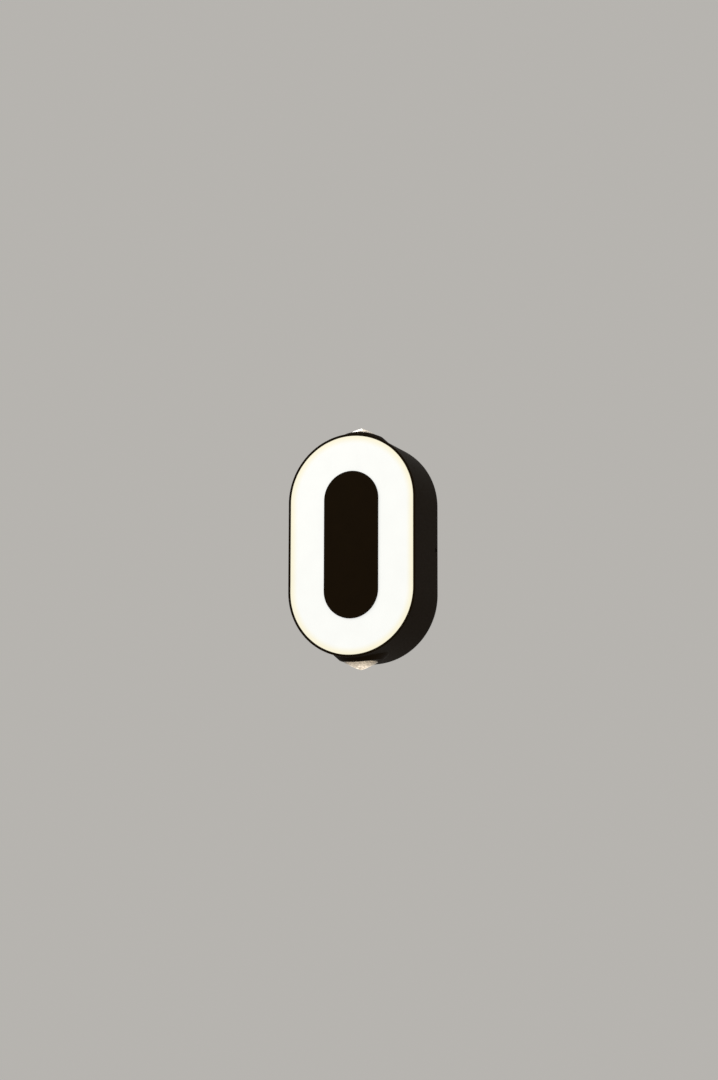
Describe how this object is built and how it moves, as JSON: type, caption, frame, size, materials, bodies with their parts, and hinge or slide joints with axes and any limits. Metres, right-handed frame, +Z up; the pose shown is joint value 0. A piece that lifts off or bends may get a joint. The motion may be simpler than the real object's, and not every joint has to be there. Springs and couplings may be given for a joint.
{
  "type": "illuminated house number",
  "caption": "Black stadium-shaped wall light whose opal ring glows as the numeral zero, with domed lenses that throw light up and down the wall.",
  "frame": {"origin": "centre of the wall bracket's slots, on the wall plane", "axes": "+Z up, +Y into the wall, so the light faces -Y, and +X to the right seen from the front"},
  "size_m": [0.12, 0.0617, 0.218],
  "materials": {
    "black_powder_coat": "fine satin black powder coat",
    "opal_acrylic": "opal, softly glowing warm white",
    "clear_acrylic": "clear, polished",
    "black_silicone": "matt",
    "grey_foam": "closed-cell foam, matt",
    "zinc_steel": "zinc plated",
    "black_steel": "black oxide",
    "cast_aluminium": "machined",
    "white_board": "white solder mask",
    "phosphor": "phosphor-coated light source",
    "black_plastic": "moulded",
    "white_plastic": "moulded",
    "green_board": "green solder mask",
    "yellow_tape": "taped winding",
    "blue_sleeve": "shrink sleeve",
    "copper_winding": "enamelled copper winding",
    "clamp_brass": "turned",
    "tinned_copper": "tinned",
    "brown_insulation": "lead insulation",
    "blue_insulation": "lead insulation",
    "green_insulation": "lead insulation",
    "red_insulation": "lead insulation"
  },
  "bodies": {
    "bracket": {"wall_bracket": "zinc_steel"},
    "lamp": {"housing": "black_powder_coat", "chassis_plate": "cast_aluminium", "diffuser": "opal_acrylic", "diffuser_gasket": "black_silicone", "centre_plate": "black_powder_coat", "centre_plate_seal": "black_silicone", "centre_plate_screws": "zinc_steel", "led_ring_board": "white_board", "led_chips": "phosphor", "led_board_screws": "zinc_steel", "upper_lens": "clear_acrylic", "upper_lens_seal": "black_silicone", "upper_lens_spacer": "black_plastic", "upper_spot_board": "white_board", "upper_spot_led": "phosphor", "upper_heat_sink": "cast_aluminium", "lower_lens": "clear_acrylic", "lower_lens_seal": "black_silicone", "lower_lens_spacer": "black_plastic", "lower_spot_board": "white_board", "lower_spot_led": "phosphor", "lower_heat_sink": "cast_aluminium", "heat_sink_screws": "zinc_steel", "driver_tray": "white_plastic", "driver_lid": "white_plastic", "driver_board": "green_board", "driver_transformer": "yellow_tape", "driver_capacitor": "blue_sleeve", "driver_choke": "copper_winding", "driver_screws": "zinc_steel", "terminal_block": "white_plastic", "terminal_clamps": "clamp_brass", "terminal_clamp_screws": "zinc_steel", "terminal_fixing_screws": "zinc_steel", "earth_ring_terminal": "tinned_copper", "earth_screw": "zinc_steel", "live_lead": "brown_insulation", "neutral_lead": "blue_insulation", "earth_lead": "green_insulation", "ring_lead": "red_insulation", "upper_spot_lead": "red_insulation", "lower_spot_lead": "red_insulation", "lead_bush": "black_silicone", "back_cover": "black_powder_coat", "back_cover_gasket": "black_silicone", "back_cover_screws": "zinc_steel", "cable_grommet": "black_silicone", "wall_gasket": "grey_foam"},
    "left_lock": {"lock_screw_left": "black_steel"},
    "right_lock": {"lock_screw_right": "black_steel"}
  },
  "joints": [
    {"name": "lamp_pull_off", "type": "slide", "parent": "bracket", "child": "lamp", "axis": [0, -1, 0], "range_m": [0, 0.05]},
    {"name": "left_lock_unscrew", "type": "slide", "parent": "lamp", "child": "left_lock", "axis": [-1, 0, 0], "range_m": [0, 0.0035]},
    {"name": "right_lock_unscrew", "type": "slide", "parent": "lamp", "child": "right_lock", "axis": [1, 0, 0], "range_m": [0, 0.0035]}
  ]
}
